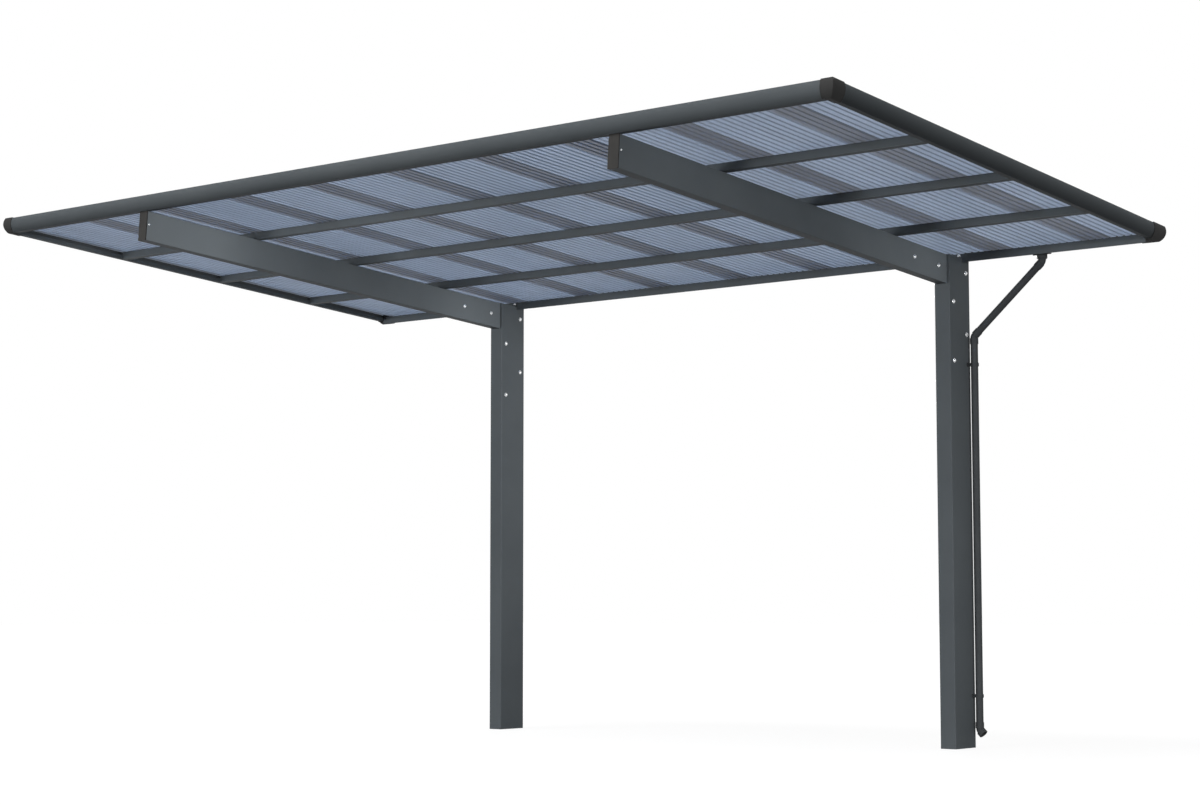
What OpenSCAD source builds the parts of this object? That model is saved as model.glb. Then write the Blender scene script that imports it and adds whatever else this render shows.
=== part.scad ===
// Cantilever carport: two posts along the low rear edge carry two beams that
// reach forward under a lapped, ribbed sheet roof with a bullnose edge all round.
// The origin is the middle of the right post's foot, X runs along the roof,
// Y runs from the free front edge to the gutter, and Z is up. Millimetres.

/* [Posts] */
// Distance between the two posts, centre to centre
post_spacing = 2880; // [2200:10:3600]
// Width of a post, along the roof
post_w = 84; // [70:1:120]
// Depth of a post, front to back
post_d = 190; // [160:1:260]
// Wall of the hollow post
post_wall = 4; // [2:0.5:8]
// Radius of a post's corners
post_corner = 4; // [1:0.5:10]
// Thickness of the plate that closes the foot of a post
foot_plate_t = 10; // [6:1:20]

/* [Beams] */
// Height of a beam's top edge where it meets the post
beam_top = 2375; // [2000:5:2800]
// Slope of the roof, down towards the gutter, in degrees
roof_pitch = 4.2; // [2:0.1:8]
// Width of a beam
beam_w = 54; // [40:1:68]
// Height of a beam
beam_h = 142; // [110:1:200]
// Wall of the hollow beam
beam_wall = 3; // [2:0.5:6]
// Radius of a beam's corners
beam_corner = 3; // [1:0.5:8]
// Length of a beam that runs on under the front edge profile
beam_nose = 14; // [5:1:18]
// Thickness of the plate in the front end of a beam
beam_cap_t = 5; // [3:0.5:8]

/* [Roof] */
// Slope length from the posts' front to the inside of the front edge
roof_reach = 2530; // [2000:10:3200]
// From the middle of a post to the inside of the roof's end
side_overhang = 1012; // [700:2:1400]
// Height of a purlin
purlin_h = 38; // [30:1:48]
// Depth of a purlin
purlin_d = 34; // [20:1:60]
// Wall of the hollow purlin
purlin_wall = 2; // [1.5:0.5:4]
// Radius of a purlin's corners
purlin_corner = 2.5; // [1:0.5:6]
// Slope distance from one purlin to the next
purlin_pitch = 685; // [500:5:740]

/* [Edge profile] */
// Height of the edge profile
edge_h = 72; // [66:1:100]
// Depth of the edge profile
edge_d = 45; // [40:1:60]
// Radius of its bullnose
edge_r = 64; // [58:1:120]
// Height of the bullnose's furthest point above its lower edge
edge_mid = 46; // [40:1:54]
// Wall of the edge profile
edge_wall = 2.5; // [1.5:0.5:4]
// Height of the inner lip that the purlins stop at
lip_h = 20; // [10:1:28]

/* [Corner caps] */
// How far a cap stands proud of the edge profile
cap_proud = 3; // [1:0.5:6]
// Length of a front cap along the front edge
front_leg = 12; // [6:1:40]
// Length of a front cap along the roof's end
side_leg = 38; // [15:1:60]
// Length of a rear cap along the roof's end, in front of the gutter
rear_leg = 10; // [4:1:30]
// Length of a rear cap under the end of the gutter
gutter_leg = 20; // [8:1:40]

/* [Sheets] */
// Number of sheets side by side
sheet_count = 10; // [4:1:14]
// Ribs that a sheet shows as a single layer
clear_ribs = 10; // [6:1:16]
// Ribs of a single layer on the first sheet, at the left end
left_ribs = 12; // [4:1:16]
// Ribs of a single layer on the last sheet, which is cut to fit the right end
right_ribs = 6; // [4:1:16]
// Ribs that two neighbours share where they lap
lap_ribs = 4; // [1:1:5]
// Depth of the ribs
rib_h = 5; // [3:0.5:10]
// Thickness of a sheet
sheet_t = 2; // [1:0.5:3]
// How far the sheets run into the edge profile
sheet_tuck = 14; // [6:1:20]
// How far the sheets run out over the gutter
sheet_drip = 60; // [40:1:70]
// Gap between two lapped sheets
lap_gap = 0.3; // [0.1:0.1:0.6]

/* [Gutter] */
// Depth of the notch in the rear of the posts that the gutter lies in
gutter_seat = 64; // [40:1:90]
// Depth of the gutter, front to back
gutter_d = 105; // [98:1:140]
// Height of its front face above the beams' top
gutter_face = 10; // [6:1:16]
// Depth of the ledge above its front face
gutter_ledge = 18; // [10:1:24]
// Height of the wall behind the ledge, above the beams' top
gutter_top = 29; // [20:1:29]
// How far its lower front edge hangs below the beams' top
gutter_drop = 17; // [10:1:22]
// Rise of its floor towards the rear, against the slope, in degrees
gutter_rise = 13.2; // [8:0.1:18]
// Radius of its rounded rear wall
gutter_r = 75; // [70:1:90]
// Height of the rear wall's furthest point above the beams' top
gutter_mid = 60; // [50:1:66]
// Wall of the gutter
gutter_wall = 2.5; // [1.5:0.5:4]
// Length of the end profiles behind the gutter's front wall
end_run = 84; // [70:1:90]
// Thickness of the stop plate at each end of the gutter
stop_t = 4; // [3:0.5:8]

/* [Downpipe] */
// Outer diameter of the pipe
pipe_d = 36; // [28:1:44]
// Wall of the pipe and its fittings
pipe_wall = 2; // [1.5:0.5:3]
// Distance of the outlet from the middle of the right post
outlet_x = 450; // [350:5:600]
// Gap between the post's side and the pipe
pipe_gap = 14; // [8:1:30]
// Angle of the slanted pipe from upright, in degrees
slant = 48.5; // [30:0.5:60]
// Inner radius of the pipe bends
bend_inner = 3; // [2:1:40]
// Length of the sockets on the fittings
socket_l = 24; // [15:1:35]
// Gap between a pipe and its socket
socket_gap = 0.3; // [0.2:0.1:0.6]
// Distance of the outlet behind the gutter's front
outlet_back = 48; // [46:1:54]
// Length of the outlet below the gutter
outlet_l = 28; // [20:1:60]
// Outer diameter of the outlet
outlet_d = 50; // [44:1:60]
// Width of the outlet's flange, along the gutter
flange_w = 80; // [64:1:120]
// Depth of the outlet's flange, across the gutter
flange_d = 50; // [50:1:54]
// Thickness of the outlet's flange
flange_t = 5; // [3:0.5:8]
// Height of the shoe's socket above the ground
shoe_z = 95; // [80:1:300]
// Angle that the shoe turns the water out by, in degrees
shoe_turn = 45; // [30:1:60]
// Length of the shoe's straight spout
spout_l = 20; // [5:1:40]
// How far the spout stands out beyond the sockets' sleeves
spout_rim = 2; // [0.5:0.5:4]
// Height of the upper pipe clip
upper_clip_z = 1840; // [1200:10:1900]
// Height of the lower pipe clip
lower_clip_z = 240; // [230:10:600]
// Height of a clip's band
clip_h = 16; // [10:1:30]
// Thickness of a clip's band
clip_t = 3; // [2:0.5:5]

/* [Hidden] */
$fn = 64;
// Margin that carries a cut clear of a face
cut = 1;
// Sides of the roof's clear space, between the lips of the end profiles
right_x = side_overhang;
left_x = -post_spacing - side_overhang;
clear_w = right_x - left_x;
// Front of the clear space and rear of the gutter, along the slope
front_y = -roof_reach;
gutter_front = post_d - gutter_seat;
gutter_rear = gutter_front + gutter_d;
end_rear = gutter_front + end_run;
// Sheets: level of their underside, width of a rib and length along the slope
sheet_base = purlin_h;
rib_step = clear_ribs + lap_ribs;
rib_total = left_ribs + (sheet_count - 2) * rib_step + lap_ribs + right_ribs;
rib_w = (clear_w + 2 * sheet_tuck) / rib_total;
sheet_front = front_y - sheet_tuck;
sheet_rear = gutter_front + sheet_drip;
layer_rise = sheet_t + lap_gap;
// Fittings: neck between a bend and its socket, the neck's wider bore, and the
// angle by which a bend runs on into its socket
shoulder_l = 4;
neck_step = 0.4;
lead = 1;
// Downpipe: its plane, its upright axis and the corners of its path
pipe_r = pipe_d / 2;
bore_r = pipe_r - pipe_wall;
socket_r = pipe_r + socket_gap;
sleeve_r = socket_r + pipe_wall;
bend_r = pipe_r + bend_inner;
pipe_x = post_w / 2 + pipe_gap + pipe_r;
outlet_n = outlet_back * tan(gutter_rise) - gutter_drop;
pipe_y = -post_d / 2 + (gutter_front + outlet_back) * cos(roof_pitch) + outlet_n * sin(roof_pitch);
outlet_z = beam_top - (gutter_front + outlet_back) * sin(roof_pitch) + outlet_n * cos(roof_pitch);
outlet_end = outlet_z - outlet_l;
bend_t = bend_r * tan(slant / 2);
upper_corner = outlet_end - bend_t;
lower_corner = upper_corner - (outlet_x - pipe_x) / tan(slant);
downpipe_top = lower_corner - bend_t - shoulder_l;
slant_l = (outlet_x - pipe_x) / sin(slant) - 2 * (bend_t + shoulder_l);

// Places children in the sloping frame of the roof, with Y = 0 at the posts'
// front and Z = 0 at the beams' top
module on_slope() {
    translate([0, -post_d / 2, beam_top])
        rotate([-roof_pitch, 0, 0])
            children();
}

// Places children once at the right post and once, by name, at the left one
module at_post(side) {
    translate([side == "left" ? -post_spacing : 0, 0, 0])
        children();
}

// Runs a profile, drawn as slope depth and height, along X
module along_x(from_x, to_x) {
    translate([from_x, 0, 0])
        rotate([90, 0, 90])
            linear_extrude(to_x - from_x)
                children();
}

// Runs a profile, drawn as width and height, along the slope
module along_slope(from_y, to_y) {
    translate([0, to_y, 0])
        rotate([90, 0, 0])
            linear_extrude(to_y - from_y)
                children();
}

// Swaps left and right about the middle of the roof
module other_end(side) {
    if (side == "left")
        translate([left_x + right_x, 0, 0])
            mirror([1, 0, 0])
                children();
    else
        children();
}

// A rectangle with rounded corners, from the origin
module soft_rectangle(w, h, r) {
    translate([r, 0])
        square([w - 2 * r, h]);
    translate([0, r])
        square([w, h - 2 * r]);
    for (x = [r, w - r], y = [r, h - r])
        translate([x, y])
            circle(r);
}

// A hollow section with soft corners, centred on its width and hanging from
// Z = 0
module box_section(w, h, wall, corner) {
    translate([-w / 2, -h])
        difference() {
            soft_rectangle(w, h, corner);
            translate([wall, wall])
                square([w - 2 * wall, h - 2 * wall]);
        }
}

// A post: a hollow tube with a foot plate, its top cut to the slope and
// notched at the rear, where the gutter lies in it
module post(side) {
    at_post(side)
        difference() {
            linear_extrude(beam_top)
                translate([-post_w / 2, -post_d / 2])
                    soft_rectangle(post_w, post_d, post_corner);
            translate([-post_w / 2 + post_wall, -post_d / 2 + post_wall, foot_plate_t])
                cube([post_w - 2 * post_wall, post_d - 2 * post_wall, beam_top]);
            on_slope() {
                translate([-post_w, -post_d, 0])
                    cube([2 * post_w, 3 * post_d, beam_h]);
                translate([0, gutter_front, 0])
                    along_x(-post_w, post_w)
                        gutter_outline(0, 0, edge_h);
            }
        }
}

// A beam: a hollow section along the slope, cut upright against its post
module beam(side) {
    at_post(side)
        difference() {
            on_slope()
                along_slope(front_y - beam_nose, post_d / 2)
                    box_section(beam_w, beam_h, beam_wall, beam_corner);
            translate([-beam_w, -post_d / 2, 0])
                cube([2 * beam_w, 2 * post_d, 2 * beam_top]);
        }
}

// The plate in the front end of a beam
module beam_cap(side) {
    at_post(side)
        on_slope()
            along_slope(front_y - beam_nose - beam_cap_t, front_y - beam_nose)
                translate([-beam_w / 2, -beam_h])
                    soft_rectangle(beam_w, beam_h, beam_corner);
}

// A purlin: a hollow section across both beams, from end lip to end lip
module purlin(number) {
    on_slope()
        translate([0, front_y + number * purlin_pitch, 0])
            along_x(left_x, right_x)
                translate([purlin_d / 2, purlin_h])
                    box_section(purlin_d, purlin_h, purlin_wall, purlin_corner);
}

// Outline of the edge profile, grown by a margin and reaching down by another:
// flat inside, round outside
module edge_outline(grow, reach = 0) {
    intersection() {
        translate([0, -grow - reach])
            square([2 * edge_d, edge_h + 2 * grow + reach]);
        translate([edge_d - edge_r, edge_mid])
            circle(edge_r + grow);
    }
}

// The edge profile: a hollow bullnose, open inside above its lip, where the
// sheets and their laps slide in under the top flange
module edge_profile() {
    difference() {
        edge_outline(0);
        intersection() {
            translate([edge_wall, edge_wall])
                square([edge_d, edge_h - 2 * edge_wall]);
            translate([edge_d - edge_r, edge_mid])
                circle(edge_r - edge_wall);
        }
        translate([-cut, lip_h])
            square([edge_wall + 2 * cut, edge_h - lip_h - edge_wall]);
    }
}

// The front edge, along the whole clear width of the roof
module front_edge() {
    on_slope()
        translate([0, front_y, 0])
            mirror([0, 1, 0])
                along_x(left_x, right_x)
                    edge_profile();
}

// An end of the roof, from the front edge back beside the gutter
module end_edge(side) {
    on_slope()
        other_end(side)
            along_slope(front_y, end_rear)
                translate([right_x, 0])
                    edge_profile();
}

// The space that the ribbed sheets take up, kept free in the caps
module sheet_space() {
    room = lap_gap;
    translate([left_x - sheet_tuck - room, sheet_front - room, sheet_base - room])
        cube([clear_w + 2 * (sheet_tuck + room), sheet_rear - sheet_front + 2 * room,
              rib_h + sheet_t + layer_rise + 2 * room]);
}

// A front corner cap: the two edge outlines meet in a mitre, with a sleeve
// over the end of each profile
module front_cap(side) {
    on_slope()
        difference() {
            other_end(side) {
                intersection() {
                    translate([0, front_y, 0])
                        mirror([0, 1, 0])
                            along_x(right_x, right_x + edge_d + cap_proud)
                                edge_outline(cap_proud);
                    along_slope(front_y - edge_d - cap_proud, front_y)
                        translate([right_x, 0])
                            edge_outline(cap_proud);
                }
                difference() {
                    translate([0, front_y, 0])
                        mirror([0, 1, 0])
                            along_x(right_x - front_leg, right_x)
                                difference() {
                                    edge_outline(cap_proud);
                                    edge_outline(0);
                                }
                    translate([right_x - 2 * front_leg, front_y - edge_d, -2 * cap_proud])
                        cube([3 * front_leg, edge_d, 2 * cap_proud]);
                }
                along_slope(front_y, front_y + side_leg)
                    translate([right_x, 0])
                        difference() {
                            edge_outline(cap_proud);
                            edge_outline(0);
                        }
            }
            sheet_space();
        }
}

// Outline of the gutter, grown by a margin, from a front plane up to a level:
// upright in front, a floor that rises to the rear and a round rear wall
module gutter_outline(grow, front, top) {
    low = -gutter_drop - grow / cos(gutter_rise);
    far = 2 * gutter_d;
    intersection() {
        polygon([[front, low + front * tan(gutter_rise)], [far, low + far * tan(gutter_rise)], [far, top],
                 [front, top]]);
        union() {
            translate([gutter_d - gutter_r, gutter_mid])
                circle(gutter_r + grow);
            translate([-gutter_d, gutter_mid - 2 * gutter_r])
                square([2 * gutter_d - gutter_r, 4 * gutter_r]);
        }
    }
}

// Section of the gutter: a front face with a ledge, a second wall behind the
// ledge, a rising floor and a high round rear wall
module gutter_profile() {
    difference() {
        gutter_outline(0, 0, edge_h);
        gutter_outline(-gutter_wall, gutter_wall, edge_h + cut);
        translate([-cut, gutter_face])
            square([gutter_ledge + cut, edge_h]);
    }
    translate([0, gutter_face - gutter_wall])
        square([gutter_ledge + gutter_wall, gutter_wall]);
    translate([gutter_ledge, gutter_face - gutter_wall])
        square([gutter_wall, gutter_top - gutter_face + gutter_wall]);
}

// The gutter, between its two stop plates, with the hole for the outlet
module gutter() {
    difference() {
        on_slope()
            translate([0, gutter_front, 0])
                along_x(left_x + stop_t, right_x - stop_t)
                    gutter_profile();
        translate([outlet_x, pipe_y, outlet_z - outlet_l])
            cylinder(r = bore_r, h = 2 * outlet_l);
    }
}

// A rear corner cap: a mitred plug behind the end profile, a sleeve over the
// profile, and a stop plate in the gutter's end with a sleeve round the gutter
module rear_cap(side) {
    on_slope()
        difference() {
            other_end(side) {
                intersection() {
                    translate([0, gutter_front, 0])
                        along_x(right_x, right_x + edge_d + cap_proud)
                            gutter_outline(cap_proud, 0, edge_h + cap_proud);
                    along_slope(gutter_front, gutter_rear + cap_proud)
                        translate([right_x, 0])
                            edge_outline(cap_proud, gutter_drop);
                }
                along_slope(gutter_front - rear_leg, gutter_front + stop_t)
                    translate([right_x, 0])
                        edge_outline(cap_proud);
                translate([0, gutter_front, 0])
                    along_x(right_x - gutter_leg, right_x)
                        gutter_outline(cap_proud, 0, edge_h + cap_proud);
            }
            other_end(side) {
                along_slope(gutter_front - 2 * rear_leg, end_rear)
                    translate([right_x, 0])
                        edge_outline(0);
                translate([0, gutter_front, 0])
                    along_x(right_x - 2 * gutter_leg, right_x - stop_t)
                        gutter_outline(0, -cut, edge_h);
            }
            sheet_space();
        }
}

// Height of the sheet's underside over the width of one rib: a wide pan and a
// narrow raised flute with steep flanks
rib_points = [[0, 0], [0.62, 0], [0.7, 1], [0.92, 1]];

// First rib of a sheet, which is also the first rib of its lap
function first_rib(number) = number == 0 ? 0 : left_ribs + (number - 1) * rib_step;

// A roof sheet: a ribbed section along the slope. Every second sheet lies on
// the laps of its neighbours
module roof_sheet(number) {
    first = first_rib(number);
    last = number == sheet_count - 1 ? rib_total : first_rib(number + 1) + lap_ribs;
    base = sheet_base + (number % 2) * layer_rise;
    under = [for (rib = [first : last - 1], p = rib_points) [(rib + p[0]) * rib_w, base + p[1] * rib_h]];
    closed = concat(under, [[last * rib_w, base]]);
    count = len(closed);
    on_slope()
        translate([left_x - sheet_tuck, 0, 0])
            along_slope(sheet_front, sheet_rear)
                polygon(concat(closed, [for (k = [count - 1 : -1 : 0]) closed[k] + [0, sheet_t]]));
}

// A pipe bend in the plane of the downpipe, from one angle to another
module bend(radius, from_angle, to_angle) {
    rotate([90, 0, 0])
        rotate([0, 0, from_angle])
            rotate_extrude(angle = to_angle - from_angle)
                translate([bend_r, 0])
                    circle(radius);
}

// A straight round stretch on the path through a point, at an angle from
// upright, between two distances down the path
module run(point, angle, radius, from_l, to_l) {
    translate([point[0], pipe_y, point[1]])
        rotate([0, angle, 0])
            translate([0, 0, -to_l])
                cylinder(r = radius, h = to_l - from_l);
}

// A point further down the path by a length, at an angle from upright
function down_path(point, angle, length) = point - length * [sin(angle), cos(angle)];

// A socket on the end of a bend, open down the path (way 1) or up it (way -1)
module socket_body(point, angle, way) {
    reach = way * (shoulder_l + socket_l);
    run(point, angle, sleeve_r, min(0, reach), max(0, reach));
}

// The stepped bore of a socket: a short neck, then the seat of the pipe
module socket_bore(point, angle, way) {
    neck = way * (shoulder_l + cut);
    seat = way * shoulder_l;
    mouth = way * (shoulder_l + socket_l + cut);
    run(point, angle, bore_r + neck_step, min(0, neck), max(0, neck));
    run(point, angle, socket_r, min(seat, mouth), max(seat, mouth));
}

// A plain pipe from a point, down the path at an angle
module pipe(point, angle, length) {
    difference() {
        run(point, angle, pipe_r, 0, length);
        run(point, angle, bore_r, -cut, length + cut);
    }
}

// Places children on the underside of the gutter, with Y along it from the
// gutter's front and Z square to it
module under_gutter() {
    on_slope()
        translate([0, gutter_front, -gutter_drop])
            rotate([gutter_rise, 0, 0])
                children();
}

// The outlet: a flange under the gutter's floor and a short upright tube with
// a bevelled rim
module gutter_outlet() {
    bevel = outlet_d / 8;
    difference() {
        union() {
            translate([outlet_x, pipe_y, outlet_end])
                cylinder(d1 = outlet_d - 2 * bevel, d2 = outlet_d, h = bevel);
            translate([outlet_x, pipe_y, outlet_end + bevel])
                cylinder(d = outlet_d, h = 2 * outlet_l);
            under_gutter()
                translate([outlet_x - flange_w / 2, outlet_back / cos(gutter_rise) - flange_d / 2, -flange_t])
                    linear_extrude(flange_t)
                        soft_rectangle(flange_w, flange_d, flange_d / 6);
        }
        translate([outlet_x, pipe_y, outlet_end - cut])
            cylinder(r = bore_r, h = 4 * outlet_l);
        under_gutter()
            translate([outlet_x - flange_w, -flange_w, 0])
                cube([2 * flange_w, 4 * flange_w, 4 * outlet_l]);
    }
}

// The upper bend, from the outlet to the slanted pipe
module upper_bend() {
    middle = [outlet_x - bend_r, outlet_end];
    exit = middle + bend_r * [cos(slant), -sin(slant)];
    difference() {
        union() {
            translate([middle[0], pipe_y, middle[1]])
                bend(pipe_r, -slant - lead, 0);
            socket_body(exit, slant, 1);
        }
        translate([middle[0], pipe_y, middle[1]])
            bend(bore_r, -slant - lead, lead);
        socket_bore(exit, slant, 1);
    }
}

// The slanted pipe between the two bends
module slanted_pipe() {
    pipe(down_path([outlet_x, upper_corner], slant, bend_t + shoulder_l), slant, slant_l);
}

// The lower bend, from the slanted pipe to the downpipe beside the post
module lower_bend() {
    middle = [pipe_x + bend_r, lower_corner - bend_t];
    entry = middle + bend_r * [-cos(slant), sin(slant)];
    exit = [pipe_x, lower_corner - bend_t];
    difference() {
        union() {
            translate([middle[0], pipe_y, middle[1]])
                bend(pipe_r, 180 - slant - lead, 180 + lead);
            socket_body(entry, slant, -1);
            socket_body(exit, 0, 1);
        }
        translate([middle[0], pipe_y, middle[1]])
            bend(bore_r, 180 - slant - lead, 180 + lead);
        socket_bore(entry, slant, -1);
        socket_bore(exit, 0, 1);
    }
}

// The upright downpipe beside the right post
module downpipe() {
    pipe([pipe_x, downpipe_top], 0, downpipe_top - shoe_z - shoulder_l);
}

// The shoe: a socket on the foot of the downpipe and a rimmed spout that
// turns the water out to the side
module drain_shoe() {
    middle = [pipe_x + bend_r, shoe_z];
    exit = middle - bend_r * [cos(shoe_turn), sin(shoe_turn)];
    difference() {
        union() {
            socket_body([pipe_x, shoe_z], 0, -1);
            translate([middle[0], pipe_y, middle[1]])
                bend(pipe_r, 180 - lead, 180 + shoe_turn + lead);
            run(exit, -shoe_turn, sleeve_r + spout_rim, 0, spout_l);
        }
        translate([middle[0], pipe_y, middle[1]])
            bend(bore_r, 180 - lead, 180 + shoe_turn + lead);
        socket_bore([pipe_x, shoe_z], 0, -1);
        run(exit, -shoe_turn, bore_r + neck_step, 0, spout_l + cut);
    }
}

// A pipe clip: a band round the downpipe on a foot against the post's side
module pipe_clip(height) {
    difference() {
        union() {
            translate([pipe_x, pipe_y, height])
                cylinder(r = socket_r + clip_t, h = clip_h);
            translate([post_w / 2, pipe_y - pipe_r, height])
                cube([pipe_gap + pipe_r, pipe_r, clip_h]);
        }
        translate([pipe_x, pipe_y, height - cut])
            cylinder(r = socket_r, h = clip_h + 2 * cut);
    }
}

SHEETS = [for (k = [0 : sheet_count - 1]) str("roof_sheet_", k + 1)];

FRAME_GREY = [0.29, 0.31, 0.32];
CAP_BLACK = [0.22, 0.22, 0.22];
END_BROWN = [0.25, 0.24, 0.235];
SHEET_BLUE = [0.49, 0.54, 0.62];
PIPE_GREY = [0.21, 0.22, 0.22];

color(FRAME_GREY) post("right");  // right_post
color(FRAME_GREY) post("left");  // left_post
color(FRAME_GREY) beam("right");  // right_beam
color(FRAME_GREY) beam("left");  // left_beam
color(END_BROWN) beam_cap("right");  // right_beam_cap
color(END_BROWN) beam_cap("left");  // left_beam_cap
color(FRAME_GREY) purlin(1);  // front_purlin
color(FRAME_GREY) purlin(2);  // middle_purlin
color(FRAME_GREY) purlin(3);  // rear_purlin
color(FRAME_GREY) front_edge();
color(FRAME_GREY) end_edge("right");  // right_edge
color(FRAME_GREY) end_edge("left");  // left_edge
color(CAP_BLACK) front_cap("right");  // front_right_cap
color(CAP_BLACK) front_cap("left");  // front_left_cap
color(CAP_BLACK) rear_cap("right");  // rear_right_cap
color(CAP_BLACK) rear_cap("left");  // rear_left_cap
color(FRAME_GREY) gutter();
for (k = [0 : sheet_count - 1])
    color(SHEET_BLUE) roof_sheet(k);
color(PIPE_GREY) gutter_outlet();
color(PIPE_GREY) upper_bend();
color(PIPE_GREY) slanted_pipe();
color(PIPE_GREY) lower_bend();
color(PIPE_GREY) downpipe();
color(PIPE_GREY) pipe_clip(upper_clip_z);  // upper_clip
color(PIPE_GREY) pipe_clip(lower_clip_z);  // lower_clip
color(PIPE_GREY) drain_shoe();
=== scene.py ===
"""A cantilever carport with a lapped, ribbed sheet roof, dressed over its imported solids.

Sizes are in metres. X runs along the roof to the right, Y to the gutter at
the rear and Z up, from the middle of the right post's foot.
"""

from itertools import cycle
from math import atan2, cos, pi, radians, sin

import bmesh
import bpy
from mathutils import Matrix, Vector


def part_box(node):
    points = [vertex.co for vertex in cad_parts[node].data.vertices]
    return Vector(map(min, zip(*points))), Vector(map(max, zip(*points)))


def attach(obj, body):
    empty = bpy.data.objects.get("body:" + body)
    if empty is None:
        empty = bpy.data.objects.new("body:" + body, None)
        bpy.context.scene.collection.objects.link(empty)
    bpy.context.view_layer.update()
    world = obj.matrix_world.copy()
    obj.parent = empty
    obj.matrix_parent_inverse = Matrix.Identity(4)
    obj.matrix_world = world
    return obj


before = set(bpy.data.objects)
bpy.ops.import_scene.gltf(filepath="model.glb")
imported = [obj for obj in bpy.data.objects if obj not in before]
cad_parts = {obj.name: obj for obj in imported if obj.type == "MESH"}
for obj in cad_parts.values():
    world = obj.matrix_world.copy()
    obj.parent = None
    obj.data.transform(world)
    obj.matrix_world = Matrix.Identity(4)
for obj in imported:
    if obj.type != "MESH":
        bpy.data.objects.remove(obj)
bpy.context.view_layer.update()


# Posts: two hollow aluminium box sections, closed at the foot.
# They are powder coated in satin anthracite, a baked skin with a fine
# orange-peel grain, and stand on hidden ground anchors.

# Nearly all of a noise pattern lies between these two factors
NOISE_LOW = 0.3
NOISE_HIGH = 0.7

# How much of the light a coat or a moulded skin mirrors
DULL_SPECULAR = 0.03


def new_material(name):
    """A new material, its node tree and its Principled shader."""
    material = bpy.data.materials.new(name)
    material.use_nodes = True
    tree = material.node_tree
    return material, tree, tree.nodes["Principled BSDF"]


def noise(tree, scale, detail, roughness, stretch=(1, 1, 1)):
    """A noise pattern in object metres; scale is waves per metre."""
    place = tree.nodes.new("ShaderNodeTexCoord")
    mapping = tree.nodes.new("ShaderNodeMapping")
    mapping.inputs["Scale"].default_value = stretch
    texture = tree.nodes.new("ShaderNodeTexNoise")
    texture.inputs["Scale"].default_value = scale
    texture.inputs["Detail"].default_value = detail
    texture.inputs["Roughness"].default_value = roughness
    tree.links.new(place.outputs["Object"], mapping.inputs["Vector"])
    tree.links.new(mapping.outputs["Vector"], texture.inputs["Vector"])
    return texture.outputs["Fac"]


def ramp(tree, source, stops):
    """Colours along a factor: each stop is a position and a linear colour."""
    node = tree.nodes.new("ShaderNodeValToRGB")
    elements = node.color_ramp.elements
    for element, (position, colour) in zip(elements, (stops[0], stops[-1])):
        element.position = position
        element.color = (*colour, 1)
    for position, colour in stops[1:-1]:
        element = elements.new(position)
        element.color = (*colour, 1)
    tree.links.new(source, node.inputs["Fac"])
    return node.outputs["Color"]


def two_tone(tree, pattern, dark, light):
    """A colour that drifts between two tones with a noise pattern."""
    return ramp(tree, pattern, [(NOISE_LOW, dark), (NOISE_HIGH, light)])


def spread(tree, pattern, low, high):
    """A value that a noise pattern moves between two ends."""
    node = tree.nodes.new("ShaderNodeMapRange")
    node.inputs["From Min"].default_value = NOISE_LOW
    node.inputs["From Max"].default_value = NOISE_HIGH
    node.inputs["To Min"].default_value = low
    node.inputs["To Max"].default_value = high
    tree.links.new(pattern, node.inputs["Value"])
    return node.outputs["Result"]


def bump(tree, shader, height, strength, depth):
    """Raises a height pattern on a shader; depth is in metres."""
    node = tree.nodes.new("ShaderNodeBump")
    node.inputs["Strength"].default_value = strength
    node.inputs["Distance"].default_value = depth
    tree.links.new(height, node.inputs["Height"])
    tree.links.new(node.outputs["Normal"], shader.inputs["Normal"])


def dull_skin(tree, shader, drift, grain, tones, roughness):
    """A skin with little shine: its colour follows a slow drift and its roughness a fine grain."""
    shader.inputs["Specular IOR Level"].default_value = DULL_SPECULAR
    tree.links.new(two_tone(tree, drift, *tones), shader.inputs["Base Color"])
    tree.links.new(spread(tree, grain, *roughness), shader.inputs["Roughness"])


def powder_coat(name, tones, roughness):
    """Coated metal: slow changes of tone and a millimetre grain."""
    material, tree, shader = new_material(name)
    drift = noise(tree, scale=2.2, detail=4, roughness=0.55)
    grain = noise(tree, scale=700, detail=2, roughness=0.5)
    dull_skin(tree, shader, drift, grain, tones, roughness)
    bump(tree, shader, grain, strength=0.2, depth=0.0004)
    return material


def dress(material, *names):
    """Gives CAD nodes a finish."""
    for name in names:
        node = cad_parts[name]
        node.data.materials.clear()
        node.data.materials.append(material)


anthracite = powder_coat("anthracite_powder_coat", tones=((0.062, 0.07, 0.076), (0.074, 0.083, 0.089)),
                         roughness=(0.48, 0.6))
dress(anthracite, "right_post", "left_post")


# Beams: hollow aluminium sections that reach forward from the posts, in the
# same coat. Each has a dark moulded plate pressed into its open front end.

def moulded_plastic(name, tones, roughness):
    """Moulded plastic: an even colour and a fine spark-eroded grain."""
    material, tree, shader = new_material(name)
    drift = noise(tree, scale=9, detail=3, roughness=0.5)
    grain = noise(tree, scale=1400, detail=3, roughness=0.6)
    dull_skin(tree, shader, drift, grain, tones, roughness)
    bump(tree, shader, grain, strength=0.35, depth=0.0003)
    return material


beam_end_plastic = moulded_plastic("beam_end_plastic", roughness=(0.5, 0.62),
                                   tones=((0.028, 0.0275, 0.027), (0.035, 0.034, 0.0325)))
dress(anthracite, "right_beam", "left_beam")
dress(beam_end_plastic, "right_beam_cap", "left_beam_cap")


# Purlins: three slim aluminium sections that lie across both beams and stop
# at the end profiles. The sheets rest on them.
dress(anthracite, "front_purlin", "middle_purlin", "rear_purlin")


# Edge profiles: bullnose aluminium extrusions along the front and both ends.
# The sheets slide into their open inner side.
dress(anthracite, "front_edge", "right_edge", "left_edge")


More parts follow.
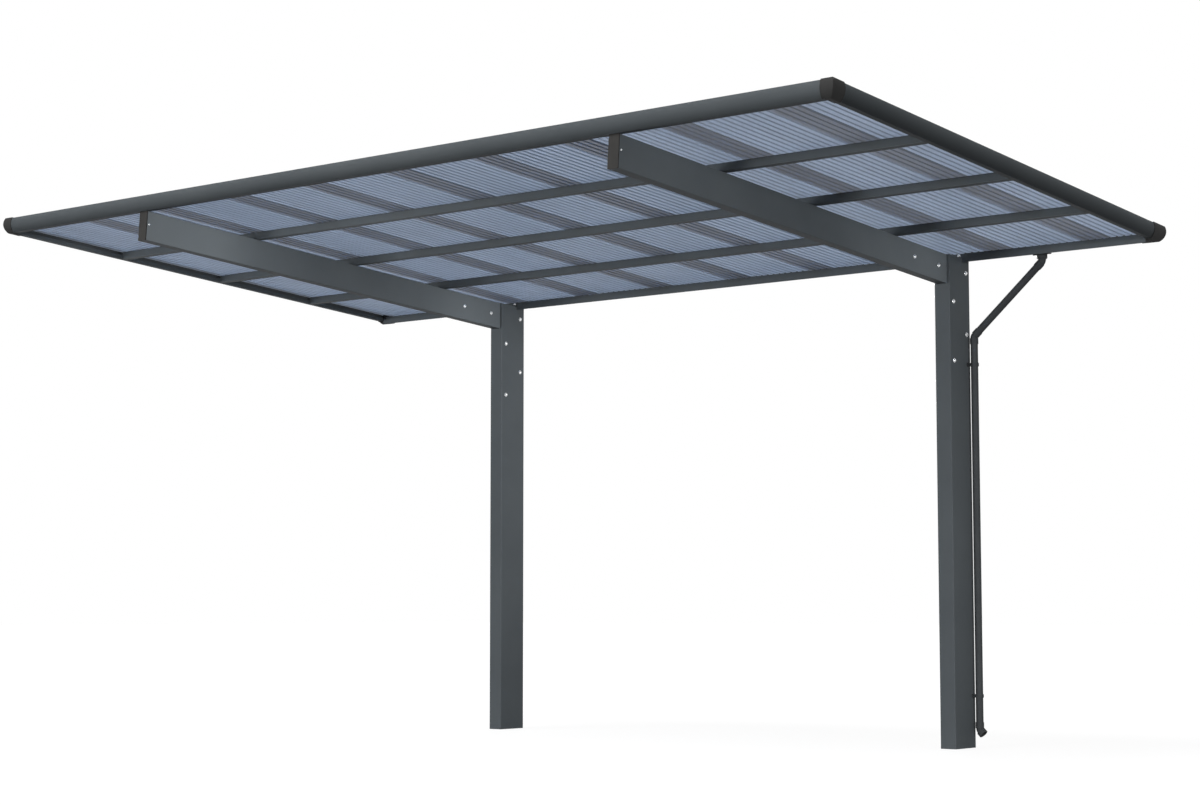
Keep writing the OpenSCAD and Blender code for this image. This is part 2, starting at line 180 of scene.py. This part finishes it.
# Corner caps: black moulded plastic, pushed over the ends of two profiles
# where they meet. The rear ones also close the ends of the gutter.
corner_plastic = moulded_plastic("corner_cap_plastic", roughness=(0.45, 0.6),
                                 tones=((0.026, 0.026, 0.026), (0.032, 0.032, 0.032)))
dress(corner_plastic, "front_right_cap", "front_left_cap", "rear_right_cap", "rear_left_cap")


# Gutter: an aluminium channel along the low rear edge, laid in the notches
# of the posts and stopped at its ends by the rear corner caps.
dress(anthracite, "gutter")


# Roof sheets: ribbed polycarbonate with a smoke-blue tint, a single milky
# layer that lets daylight through, and two layers deep where sheets lap.
# They lie on the purlins, with their edges in the profiles.

RIB_COUNT = 134
roof_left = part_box("roof_sheet_1")[0].x
roof_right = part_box("roof_sheet_10")[1].x
rib_pitch = (roof_right - roof_left) / RIB_COUNT

# Where a rib's two flanks lie, and how softly their painted shade ends, as shares of a rib's width
RISE_START = 0.62
RISE_END = 0.7
RISE_FADE = 0.06
FALL_START = 0.92
FALL_FADE = 0.04
# Painted shade: the flats keep their colour and the flanks are darkened
FLAT_SHADE = (1, 1, 1)
PAINTED_FLANK_SHADE = (0.85, 0.855, 0.86)

# Gloss of the skin, and how far the haze moves the tones of the skin and of the light that comes through
SHEET_ROUGHNESS = 0.4
SHEET_SPECULAR = 0.2
SKIN_DRIFT = 0.06
GLOW_DRIFT = 0.03

# Numbers of the Mix node's colour sockets, which share their names with others
MIX_FIRST = 6
MIX_SECOND = 7
MIX_RESULT = 2


def painted_rib_shade(tree):
    """Painted shade on the ribs: 1 on the flats and less on the flanks, in the skin's colour and in the
    light that comes through.
    """
    place = tree.nodes.new("ShaderNodeTexCoord")
    parts = tree.nodes.new("ShaderNodeSeparateXYZ")
    tree.links.new(place.outputs["Object"], parts.inputs["Vector"])
    ribs = tree.nodes.new("ShaderNodeMath")
    ribs.operation = "MULTIPLY_ADD"
    tree.links.new(parts.outputs["X"], ribs.inputs[0])
    ribs.inputs[1].default_value = 1 / rib_pitch
    ribs.inputs[2].default_value = -roof_left / rib_pitch
    across = tree.nodes.new("ShaderNodeMath")
    across.operation = "FRACT"
    tree.links.new(ribs.outputs["Value"], across.inputs[0])
    stops = [(0, PAINTED_FLANK_SHADE), (FALL_FADE, FLAT_SHADE),
             (RISE_START - RISE_FADE, FLAT_SHADE), (RISE_START, PAINTED_FLANK_SHADE),
             (RISE_END, PAINTED_FLANK_SHADE), (RISE_END + RISE_FADE, FLAT_SHADE),
             (FALL_START - FALL_FADE, FLAT_SHADE), (FALL_START, PAINTED_FLANK_SHADE), (1, PAINTED_FLANK_SHADE)]
    return ramp(tree, across.outputs["Value"], stops)


def shaded(tree, colour, shade):
    """A colour darkened by a pattern."""
    node = tree.nodes.new("ShaderNodeMix")
    node.data_type = "RGBA"
    node.blend_type = "MULTIPLY"
    node.inputs["Factor"].default_value = 1
    tree.links.new(colour, node.inputs[MIX_FIRST])
    tree.links.new(shade, node.inputs[MIX_SECOND])
    return node.outputs[MIX_RESULT]


def tones_around(colour, share):
    """Two tones of a colour, one a share darker and one a share lighter."""
    return [tuple(channel * strength for channel in colour) for strength in (1 - share, 1 + share)]


def mix_shaders(tree, first, second, output):
    """Sends a mix of two shaders to the output; the caller sets the mix's factor."""
    blend = tree.nodes.new("ShaderNodeMixShader")
    tree.links.new(first, blend.inputs[1])
    tree.links.new(second, blend.inputs[2])
    tree.links.new(blend.outputs["Shader"], tree.nodes[output].inputs["Surface"])
    return blend


def tinted_sheet(name, through, skin, share):
    """Milky plastic: a share of the light comes through from behind, and the skin keeps a gloss."""
    material, tree, shader = new_material(name)
    haze = noise(tree, scale=6, detail=3, roughness=0.5, stretch=(1, 0.15, 1))
    # Painted shade on the ribs' flanks darkens both the skin's colour and the light that comes through
    painted_ribs = painted_rib_shade(tree)
    skin_tone = two_tone(tree, haze, *tones_around(skin, SKIN_DRIFT))
    tree.links.new(shaded(tree, skin_tone, painted_ribs), shader.inputs["Base Color"])
    shader.inputs["Roughness"].default_value = SHEET_ROUGHNESS
    shader.inputs["Specular IOR Level"].default_value = SHEET_SPECULAR
    streak = noise(tree, scale=500, detail=2, roughness=0.5, stretch=(1, 0.02, 1))
    bump(tree, shader, streak, strength=0.03, depth=0.0002)
    glow = tree.nodes.new("ShaderNodeBsdfTranslucent")
    glow_tone = two_tone(tree, haze, *tones_around(through, GLOW_DRIFT))
    tree.links.new(shaded(tree, glow_tone, painted_ribs), glow.inputs["Color"])
    blend = mix_shaders(tree, shader.outputs["BSDF"], glow.outputs["BSDF"], "Material Output")
    blend.inputs["Fac"].default_value = share
    return material


sheet_names = [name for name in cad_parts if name.startswith("roof_sheet_")]
sheet_tint = tinted_sheet("smoke_blue_sheet", through=(0.452, 0.532, 0.655), skin=(0.44, 0.41, 0.365),
                          share=0.62)
dress(sheet_tint, *sheet_names)


# Downpipe: slim plastic pipe and push-fit fittings from the gutter to the
# foot of the right post, held to it by two clips.
pipe_plastic = moulded_plastic("downpipe_plastic", roughness=(0.4, 0.52),
                               tones=((0.04, 0.043, 0.046), (0.048, 0.052, 0.055)))
dress(pipe_plastic, "gutter_outlet", "upper_bend", "slanted_pipe", "lower_bend", "downpipe", "upper_clip",
      "lower_clip", "drain_shoe")


# Bolts: dome-headed stainless steel bolts with a flat washer and a hexagon
# socket. They clamp the beams and posts to hidden plates inside them and
# screw the gutter and the beams' end plates on.

WASHER_RADIUS = 0.0105
WASHER_THICK = 0.0016
WASHER_ROUND = 0.0004
HEAD_RADIUS = 0.0078
HEAD_HEIGHT = 0.0076
SHOULDER_HEIGHT = 0.003
CROWN_RADIUS = 0.0038
DOME_STEPS = 4
TURN_STEPS = 24
SOCKET_SIDES = 6
SOCKET_RADIUS = 0.0031
SOCKET_LEVEL = 0.0073
SOCKET_DEPTH = 0.003
TOUCH = 0.0001

# Reaches are measured forward from the posts along the roof's slope, drops down from the beams' top
BEAM_BOLT_REACHES = (0.07, 0.29)
BEAM_BOLT_DROP = 0.067
PLATE_SCREW_REACH = 2.532
PLATE_SCREW_DROP = 0.064
PLATE_SCREW_SHARE = 0.45
POST_BOLT_ROW = 0.06
POST_BOLT_HEIGHTS = (2.297, 2.148, 1.995, 1.86)
GUTTER_BOLT_ASIDE = 0.012
GUTTER_BOLT_BACK = 0.144
GUTTER_BOLT_RISE = 0.0195
GUTTER_BOLT_SHARE = 0.9

scene = bpy.context.scene
front_purlin_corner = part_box("front_purlin")[0]
rear_purlin_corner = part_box("rear_purlin")[0]
purlin_rise = front_purlin_corner.z - rear_purlin_corner.z
purlin_run = rear_purlin_corner.y - front_purlin_corner.y
roof_pitch = atan2(purlin_rise, purlin_run)
post_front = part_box("right_post")[0].y
beam_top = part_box("right_post")[1].z


def bolt_outline():
    """Radius and height from the washer's foot to the edge of the head's crown."""
    washer = [(WASHER_RADIUS, 0), (WASHER_RADIUS, WASHER_THICK - WASHER_ROUND),
              (WASHER_RADIUS - WASHER_ROUND, WASHER_THICK), (HEAD_RADIUS, WASHER_THICK)]
    dome = []
    for step in range(DOME_STEPS + 1):
        turn = pi / 2 * step / DOME_STEPS
        radius = CROWN_RADIUS + (HEAD_RADIUS - CROWN_RADIUS) * cos(turn)
        dome.append((radius, SHOULDER_HEIGHT + (HEAD_HEIGHT - SHOULDER_HEIGHT) * sin(turn)))
    return washer + dome


def bolt_shape():
    """One washer and dome head, standing on Z = 0."""
    head = bmesh.new()
    ring = [head.verts.new((radius, 0, height)) for radius, height in bolt_outline()]
    chain = [head.edges.new(pair) for pair in zip(ring, ring[1:])]
    bmesh.ops.spin(head, geom=ring + chain, cent=(0, 0, 0), axis=(0, 0, 1), angle=2 * pi,
                   steps=TURN_STEPS, use_merge=True)
    rim = [edge for edge in head.edges if all(v.co.z > HEAD_HEIGHT - TOUCH for v in edge.verts)]
    foot = [edge for edge in head.edges if all(v.co.z < TOUCH for v in edge.verts)]
    bmesh.ops.holes_fill(head, edges=foot)
    level = Matrix.Translation((0, 0, SOCKET_LEVEL))
    socket = bmesh.ops.create_circle(head, segments=SOCKET_SIDES, radius=SOCKET_RADIUS, matrix=level)
    sides = [edge for edge in head.edges if all(v in socket["verts"] for v in edge.verts)]
    bmesh.ops.bridge_loops(head, edges=rim + sides)
    sunk = bmesh.ops.extrude_edge_only(head, edges=sides)["geom"]
    floor_ring = [item for item in sunk if isinstance(item, bmesh.types.BMVert)]
    bmesh.ops.translate(head, verts=floor_ring, vec=(0, 0, -SOCKET_DEPTH))
    bmesh.ops.contextual_create(head, geom=floor_ring)
    bmesh.ops.recalc_face_normals(head, faces=head.faces)
    mesh = bpy.data.meshes.new("bolt_shape")
    head.to_mesh(mesh)
    head.free()
    return mesh


def bolt_steel(name):
    """Turned stainless steel: bright, with fine changes of tone and a soft polish."""
    material, tree, shader = new_material(name)
    shader.inputs["Metallic"].default_value = 1
    drift = noise(tree, scale=260, detail=3, roughness=0.6)
    polish = noise(tree, scale=1800, detail=2, roughness=0.5)
    tone = two_tone(tree, drift, dark=(0.72, 0.73, 0.74), light=(0.87, 0.88, 0.89))
    tree.links.new(tone, shader.inputs["Base Color"])
    tree.links.new(spread(tree, polish, low=0.18, high=0.32), shader.inputs["Roughness"])
    return material


def on_slope(x, back, rise):
    """A place in the roof's slope: back from the posts' front and up from the beams' top."""
    return Vector((x, post_front + back * cos(roof_pitch) + rise * sin(roof_pitch),
                   beam_top - back * sin(roof_pitch) + rise * cos(roof_pitch)))


def set_bolts(name, places):
    """One piece with a bolt at each place: its point, its turn and its share of full size."""
    bolts = bmesh.new()
    for point, turn, share in places:
        before = len(bolts.verts)
        bolts.from_mesh(bolt_mesh)
        bolts.verts.ensure_lookup_table()
        seat = Matrix.Translation(point) @ turn @ Matrix.Scale(share, 4)
        bmesh.ops.transform(bolts, matrix=seat, verts=bolts.verts[before:])
    mesh = bpy.data.meshes.new(name)
    bolts.to_mesh(mesh)
    bolts.free()
    mesh.materials.append(stainless)
    piece = bpy.data.objects.new(name, mesh)
    scene.collection.objects.link(piece)
    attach(piece, "root")


bolt_mesh = bolt_shape()
stainless = bolt_steel("stainless_steel")
to_right = Matrix.Rotation(pi / 2, 4, "Y")
to_front = Matrix.Rotation(pi / 2 - roof_pitch, 4, "X")
for side in ("right", "left"):
    beam_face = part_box(f"{side}_beam")[1].x
    beam_points = [on_slope(beam_face, -reach, -BEAM_BOLT_DROP) for reach in BEAM_BOLT_REACHES]
    beam_places = [(point, to_right, 1) for point in beam_points]
    plate_point = on_slope(beam_face, -PLATE_SCREW_REACH, -PLATE_SCREW_DROP)
    set_bolts(f"{side}_beam_bolts", [*beam_places, (plate_point, to_right, PLATE_SCREW_SHARE)])
    post_low, post_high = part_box(f"{side}_post")
    rows = zip(cycle((POST_BOLT_ROW, -POST_BOLT_ROW)), POST_BOLT_HEIGHTS)
    set_bolts(f"{side}_post_bolts", [((post_high.x, row, height), to_right, 1) for row, height in rows])
    gutter_bolt_x = (post_low.x + post_high.x) / 2 + GUTTER_BOLT_ASIDE
    gutter_point = on_slope(gutter_bolt_x, GUTTER_BOLT_BACK, GUTTER_BOLT_RISE)
    set_bolts(f"{side}_gutter_bolt", [(gutter_point, to_front, GUTTER_BOLT_SHARE)])
bpy.data.meshes.remove(bolt_mesh)


# Surround and floor: an even white surround and a wide white floor that
# keeps a faint shadow. Both look white and send only a plain level of light
# to the object.

SURROUND_LIGHT = 0.4
FLOOR_HALF = 60
FLOOR_GREY = 0.08
FLOOR_ROUGHNESS = 0.9
FLOOR_GLOW = 0.91
FLOOR_SHADE = 0.13


def seen_directly(tree):
    """1 for what the camera, a mirror or a clear sheet shows, 0 for what only lights the object."""
    path = tree.nodes.new("ShaderNodeLightPath")
    seen = path.outputs["Is Camera Ray"]
    for ray in ("Is Glossy Ray", "Is Transmission Ray"):
        either = tree.nodes.new("ShaderNodeMath")
        either.operation = "MAXIMUM"
        tree.links.new(seen, either.inputs[0])
        tree.links.new(path.outputs[ray], either.inputs[1])
        seen = either.outputs["Value"]
    return seen


def white_surround():
    """A white world that lights the object at a lower strength than it shows."""
    world = bpy.data.worlds.new("white_surround")
    world.use_nodes = True
    tree = world.node_tree
    lighting = tree.nodes["Background"]
    showing = tree.nodes.new("ShaderNodeBackground")
    for background, strength in ((lighting, SURROUND_LIGHT), (showing, 1)):
        background.inputs["Color"].default_value = (1, 1, 1, 1)
        background.inputs["Strength"].default_value = strength
    choice = mix_shaders(tree, lighting.outputs["Background"], showing.outputs["Background"],
                         "World Output")
    tree.links.new(seen_directly(tree), choice.inputs["Fac"])
    return world


def white_floor():
    """A floor that shows white with the object's shadow, and sends little light back up."""
    material, tree, shader = new_material("white_floor")
    shader.inputs["Base Color"].default_value = (FLOOR_GREY, FLOOR_GREY, FLOOR_GREY, 1)
    shader.inputs["Roughness"].default_value = FLOOR_ROUGHNESS
    glow = tree.nodes.new("ShaderNodeEmission")
    glow.inputs["Strength"].default_value = FLOOR_GLOW
    shade = tree.nodes.new("ShaderNodeBsdfDiffuse")
    shade.inputs["Color"].default_value = (FLOOR_SHADE, FLOOR_SHADE, FLOOR_SHADE, 1)
    showing = tree.nodes.new("ShaderNodeAddShader")
    tree.links.new(glow.outputs["Emission"], showing.inputs[0])
    tree.links.new(shade.outputs["BSDF"], showing.inputs[1])
    choice = mix_shaders(tree, shader.outputs["BSDF"], showing.outputs["Shader"], "Material Output")
    tree.links.new(seen_directly(tree), choice.inputs["Fac"])
    return material


scene.world = white_surround()
floor_shape = bmesh.new()
bmesh.ops.create_grid(floor_shape, x_segments=1, y_segments=1, size=FLOOR_HALF)
floor_mesh = bpy.data.meshes.new("floor")
floor_shape.to_mesh(floor_mesh)
floor_shape.free()
floor_mesh.materials.append(white_floor())
floor = bpy.data.objects.new("floor", floor_mesh)
scene.collection.objects.link(floor)


# Lamps: a wide key light from the front left and low suns for the upright
# faces. Smaller lamps light one piece or a few alone, and two suns from
# below, without shadows, light the undersides of the sheets.

SUN_WIDTH = 8
KEY_WIDTH = 40
TO_LEFT = (0, pi / 2, 0)
TO_REAR = (pi / 2, 0, 0)
TO_REAR_LEFT = (pi / 2, 0, radians(41))
BEAM_PANEL_GAP = 0.8
BEAM_PANEL_SIZE = 0.3
BEAM_PANEL_ENDS = {"front": (-2.35, 2.38), "rear": (-0.35, 2.25)}


def link_light(lamp, names, state):
    """Lets a lamp light the named nodes alone, or everything but them."""
    receivers = bpy.data.collections.new(lamp.name)
    for name in names:
        receivers.objects.link(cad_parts[name])
    for entry in receivers.collection_objects:
        entry.light_linking.link_state = state
    lamp.light_linking.receiver_collection = receivers


def set_lamp(name, kind, strength, turn, lights, spares):
    """A lamp that doesn't show itself; it may light some nodes alone, or spare some."""
    data = bpy.data.lights.new(name, kind)
    data.energy = strength
    lamp = bpy.data.objects.new(name, data)
    lamp.rotation_euler = turn
    lamp.visible_camera = False
    scene.collection.objects.link(lamp)
    if lights:
        link_light(lamp, lights, "INCLUDE")
    if spares:
        link_light(lamp, spares, "EXCLUDE")
    return lamp


def soft_sun(name, strength, elevation, azimuth, width=SUN_WIDTH, lights=(), spares=()):
    """A wide sun, in degrees; azimuth 0 shines from the front, positive from the left."""
    turn = (radians(90 - elevation), 0, radians(-azimuth))
    lamp = set_lamp(name, "SUN", strength, turn, lights, spares)
    lamp.data.angle = radians(width)
    return lamp


def soft_panel(name, power, place, turn, size, lights):
    """A flat panel of soft light for some nodes alone; size is its width and height."""
    lamp = set_lamp(name, "AREA", power, turn, lights, ())
    lamp.location = place
    lamp.data.shape = "RECTANGLE"
    lamp.data.size = size[0]
    lamp.data.size_y = size[1]


soft_sun("key_light", strength=3, elevation=50, azimuth=20, width=KEY_WIDTH)
soft_sun("low_front", strength=1.7, elevation=0.5, azimuth=10, spares=[*sheet_names, "front_edge"])
soft_sun("front_edge_light", strength=0.8, elevation=25, azimuth=10, lights=["front_edge"])
soft_sun("right_edge_light", strength=1.2, elevation=55, azimuth=-80, lights=["right_edge"])
soft_sun("low_right", strength=1.6, elevation=0.5, azimuth=-60, spares=[*sheet_names, "right_edge"])
soft_sun("low_rear", strength=1.5, elevation=8, azimuth=140, spares=sheet_names)
soft_panel("panel_between_beams", power=50, place=(-0.6, -1.8, 1.6), turn=TO_LEFT, size=(1.2, 1.2),
           lights=["left_post", "left_edge"])
soft_panel("panel_at_left_post", power=5, place=(-1.6, -0.2, 1.7), turn=TO_LEFT, size=(1.2, 1.2),
           lights=["left_post"])
soft_panel("panel_at_right_end", power=9, place=(0.95, -1.8, 1.75), turn=TO_LEFT, size=(1.2, 1.2),
           lights=["right_post"])
for side, end, power in (("right", "front", 2.2), ("right", "rear", 4),
                         ("left", "front", 8), ("left", "rear", 7.2)):
    panel_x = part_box(f"{side}_beam")[1].x + BEAM_PANEL_GAP
    soft_panel(f"panel_at_{side}_beam_{end}", power, place=(panel_x, *BEAM_PANEL_ENDS[end]), turn=TO_LEFT,
               size=(BEAM_PANEL_SIZE, BEAM_PANEL_SIZE), lights=[f"{side}_beam"])
soft_panel("panel_at_front", power=60, place=(-2.6, -4.5, 1.2), turn=TO_REAR, size=(3, 0.8),
           lights=["front_purlin", "middle_purlin", "rear_purlin", "gutter"])
soft_panel("panel_at_foot", power=8, place=(0.9, -1, 0.6), turn=TO_REAR_LEFT, size=(1, 1),
           lights=["right_post", "downpipe", "lower_clip", "drain_shoe"])
right_bay = ["roof_sheet_8", "roof_sheet_9", "roof_sheet_10"]
left_bays = [name for name in sheet_names if name not in right_bay]
for name, azimuth, sheets in (("from_below_left", 90, left_bays), ("from_below_right", -90, right_bay)):
    from_below = soft_sun(name, strength=1.13, elevation=-60, azimuth=azimuth, lights=sheets)
    from_below.data.use_shadow = False


# Camera: at the photograph's viewing angle, low down, in front of the roof
# and to its right, with a long lens that looks slightly up.

LENS = 69.306
SENSOR_WIDTH = 36
EYE = (5.69113, -9.76008, 0.68152)
LOOK_UP = 0.08767
ROLL = 0.00065
LOOK_LEFT = 0.68041

camera_data = bpy.data.cameras.new("camera")
camera_data.sensor_width = SENSOR_WIDTH
camera_data.lens = LENS
camera = bpy.data.objects.new("camera", camera_data)
camera.location = EYE
camera.rotation_euler = (pi / 2 + LOOK_UP, ROLL, LOOK_LEFT)
scene.collection.objects.link(camera)
scene.camera = camera
scene.view_settings.view_transform = "Standard"
